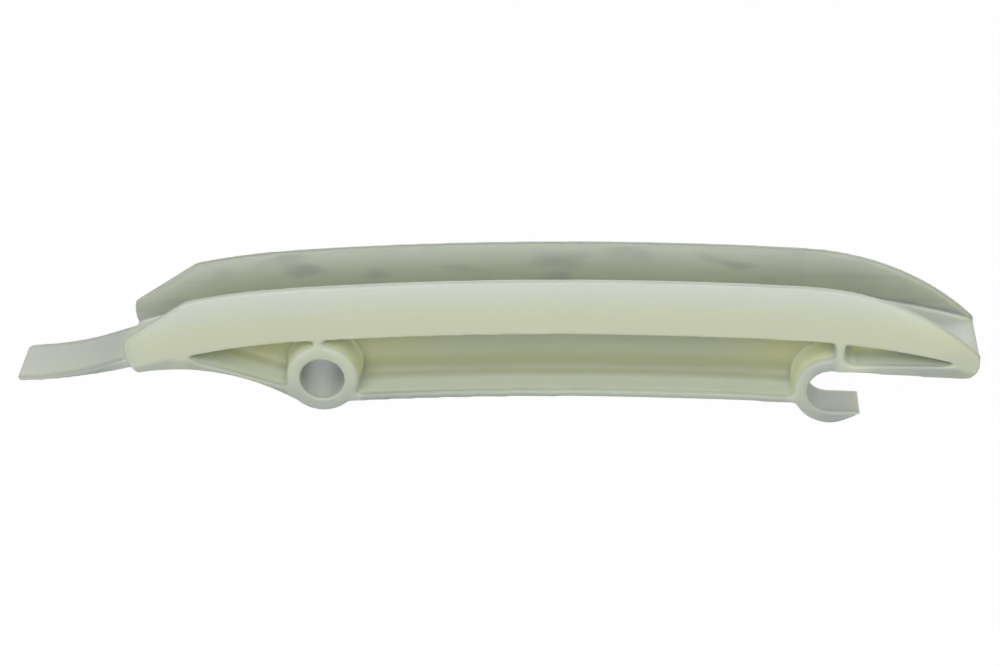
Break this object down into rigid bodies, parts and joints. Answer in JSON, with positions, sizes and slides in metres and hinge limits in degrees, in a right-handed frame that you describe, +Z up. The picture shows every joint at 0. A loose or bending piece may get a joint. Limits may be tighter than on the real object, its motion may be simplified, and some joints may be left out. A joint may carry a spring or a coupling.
{
  "type": "timing chain guide",
  "caption": "Curved timing chain guide with a U channel for the chain, a ribbed beam below with a pivot boss and an open hook, and a thin lead-in tongue.",
  "frame": {"origin": "centre of the pivot bore, at the middle of the guide's width", "axes": "+X along the guide from the tongue end towards the hook, +Y across it along the bore, +Z up towards the chain"},
  "size_m": [0.1944, 0.0176, 0.0314],
  "materials": {
    "body": "satin natural polyamide, off-white with a faint green cast"
  },
  "bodies": {
    "root": {"chain_guide": "body"}
  },
  "joints": []
}
